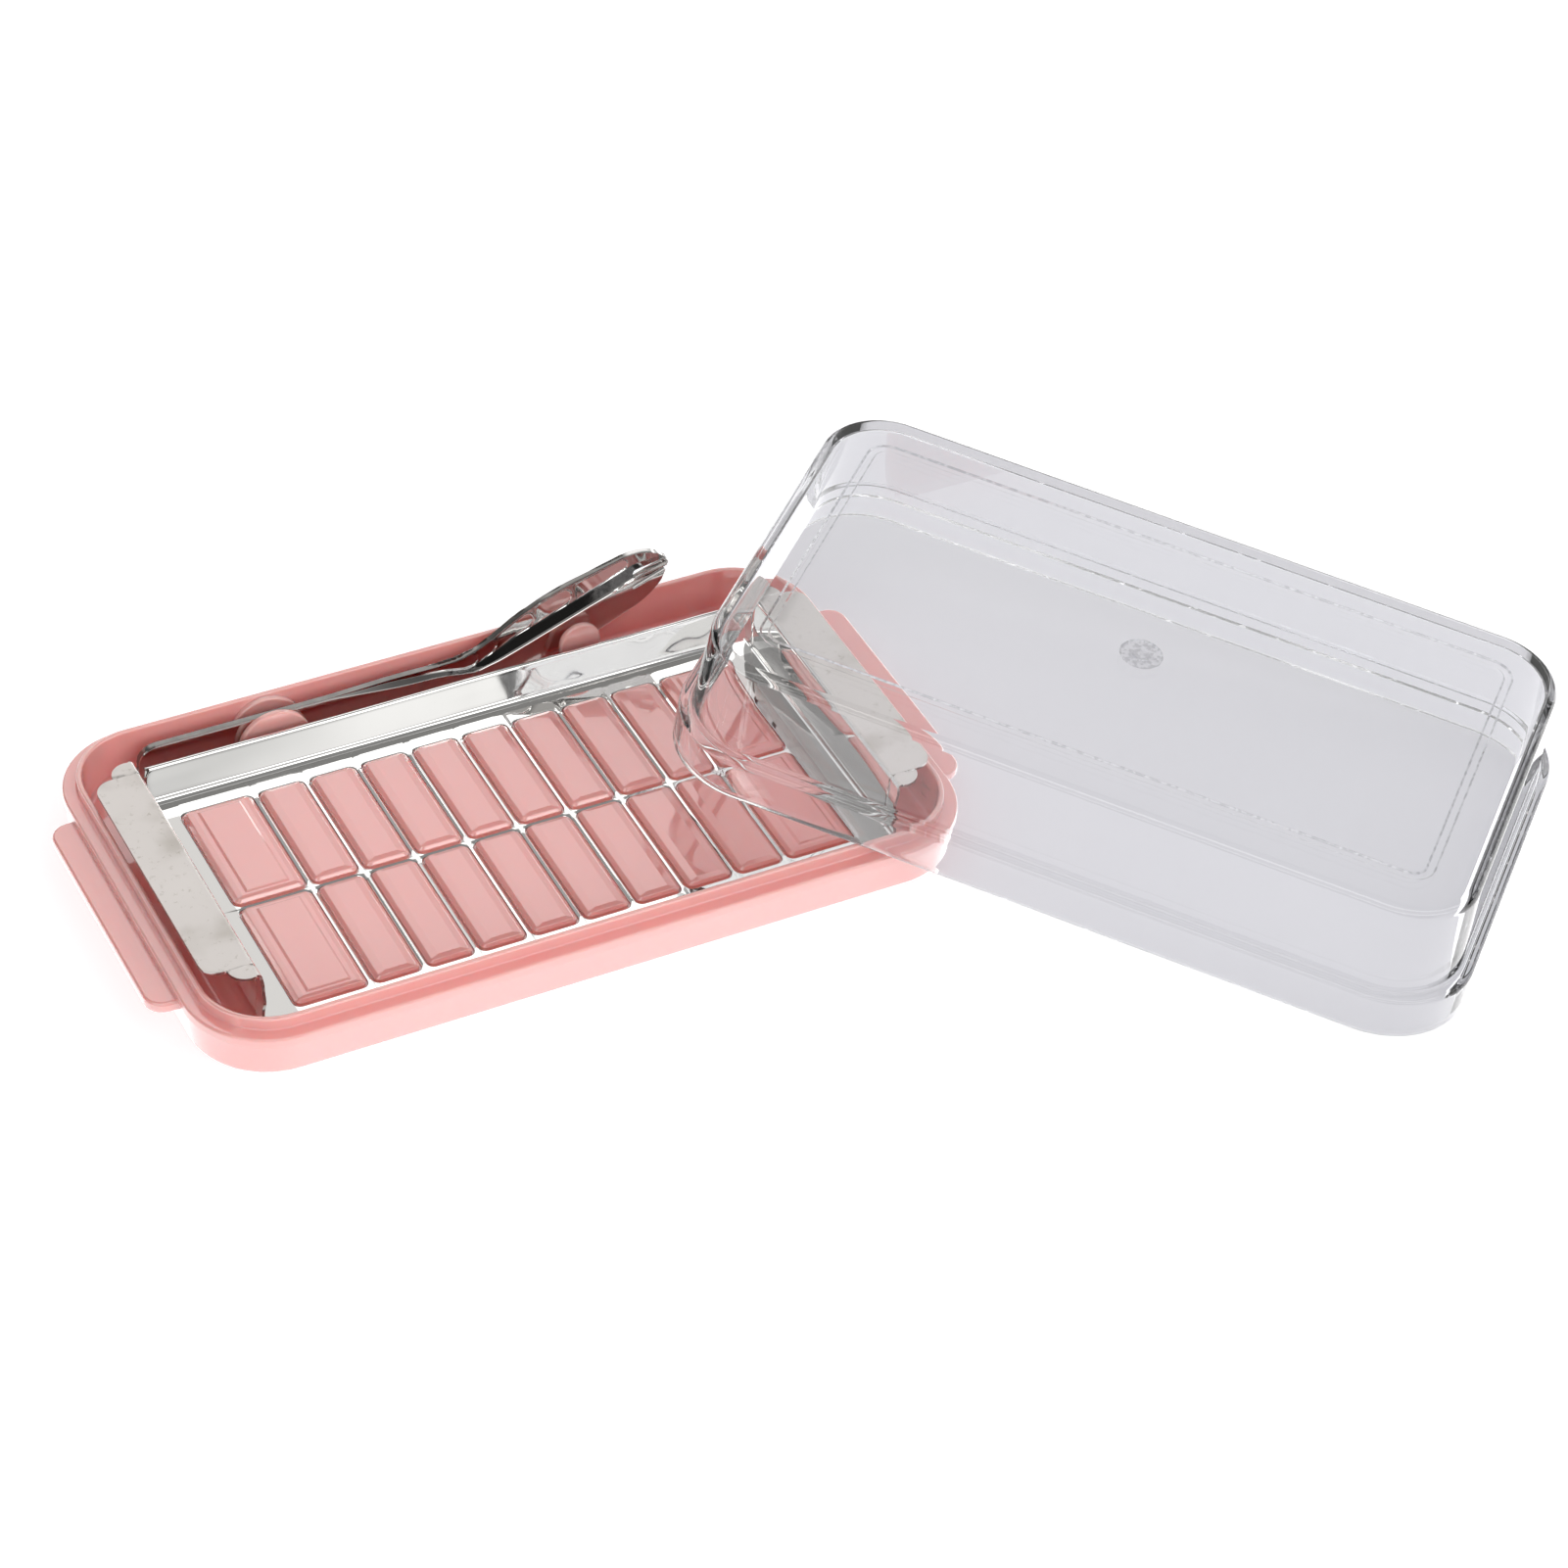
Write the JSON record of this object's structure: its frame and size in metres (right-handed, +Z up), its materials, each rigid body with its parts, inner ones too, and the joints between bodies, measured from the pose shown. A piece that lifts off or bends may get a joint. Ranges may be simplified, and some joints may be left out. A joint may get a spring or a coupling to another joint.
{
  "type": "wire butter slicer",
  "caption": "Butter cutting and storage case: a flat tray with a lift-out stamped grid cutter, a clipped butter knife and a clear lid shown taken off and leaning on it.",
  "frame": {"origin": "centre of the tray's flat underside", "axes": "+X along the tray towards the lid, +Y across the tray towards the knife clips, +Z up"},
  "size_m": [0.2971, 0.1802, 0.0479],
  "materials": {
    "pink_plastic": "glossy moulded polypropylene",
    "stainless_sheet": "mirror-polished thin stainless sheet",
    "stainless_knife": "mirror-polished stainless",
    "clear_plastic": "clear moulded polystyrene"
  },
  "bodies": {
    "tray": {"tray": "pink_plastic"},
    "cutter": {"cutter_grid": "stainless_sheet", "cutter_back_wall": "stainless_sheet", "cutter_left_wing": "stainless_sheet", "cutter_right_wing": "stainless_sheet"},
    "knife": {"butter_knife": "stainless_knife"},
    "lid": {"lid": "clear_plastic"}
  },
  "joints": [
    {"name": "lid_lift", "type": "slide", "parent": "tray", "child": "lid", "axis": [0, 0, 1], "range_m": [0, 0.16]},
    {"name": "cutter_lift", "type": "slide", "parent": "tray", "child": "cutter", "axis": [0, 0, 1], "range_m": [0, 0.08]},
    {"name": "knife_lift", "type": "slide", "parent": "tray", "child": "knife", "axis": [0, 0, 1], "range_m": [0, 0.07]}
  ],
  "couplings": [
    {"joint": "cutter_lift", "follows": "lid_lift", "ratio": 0.5}
  ]
}
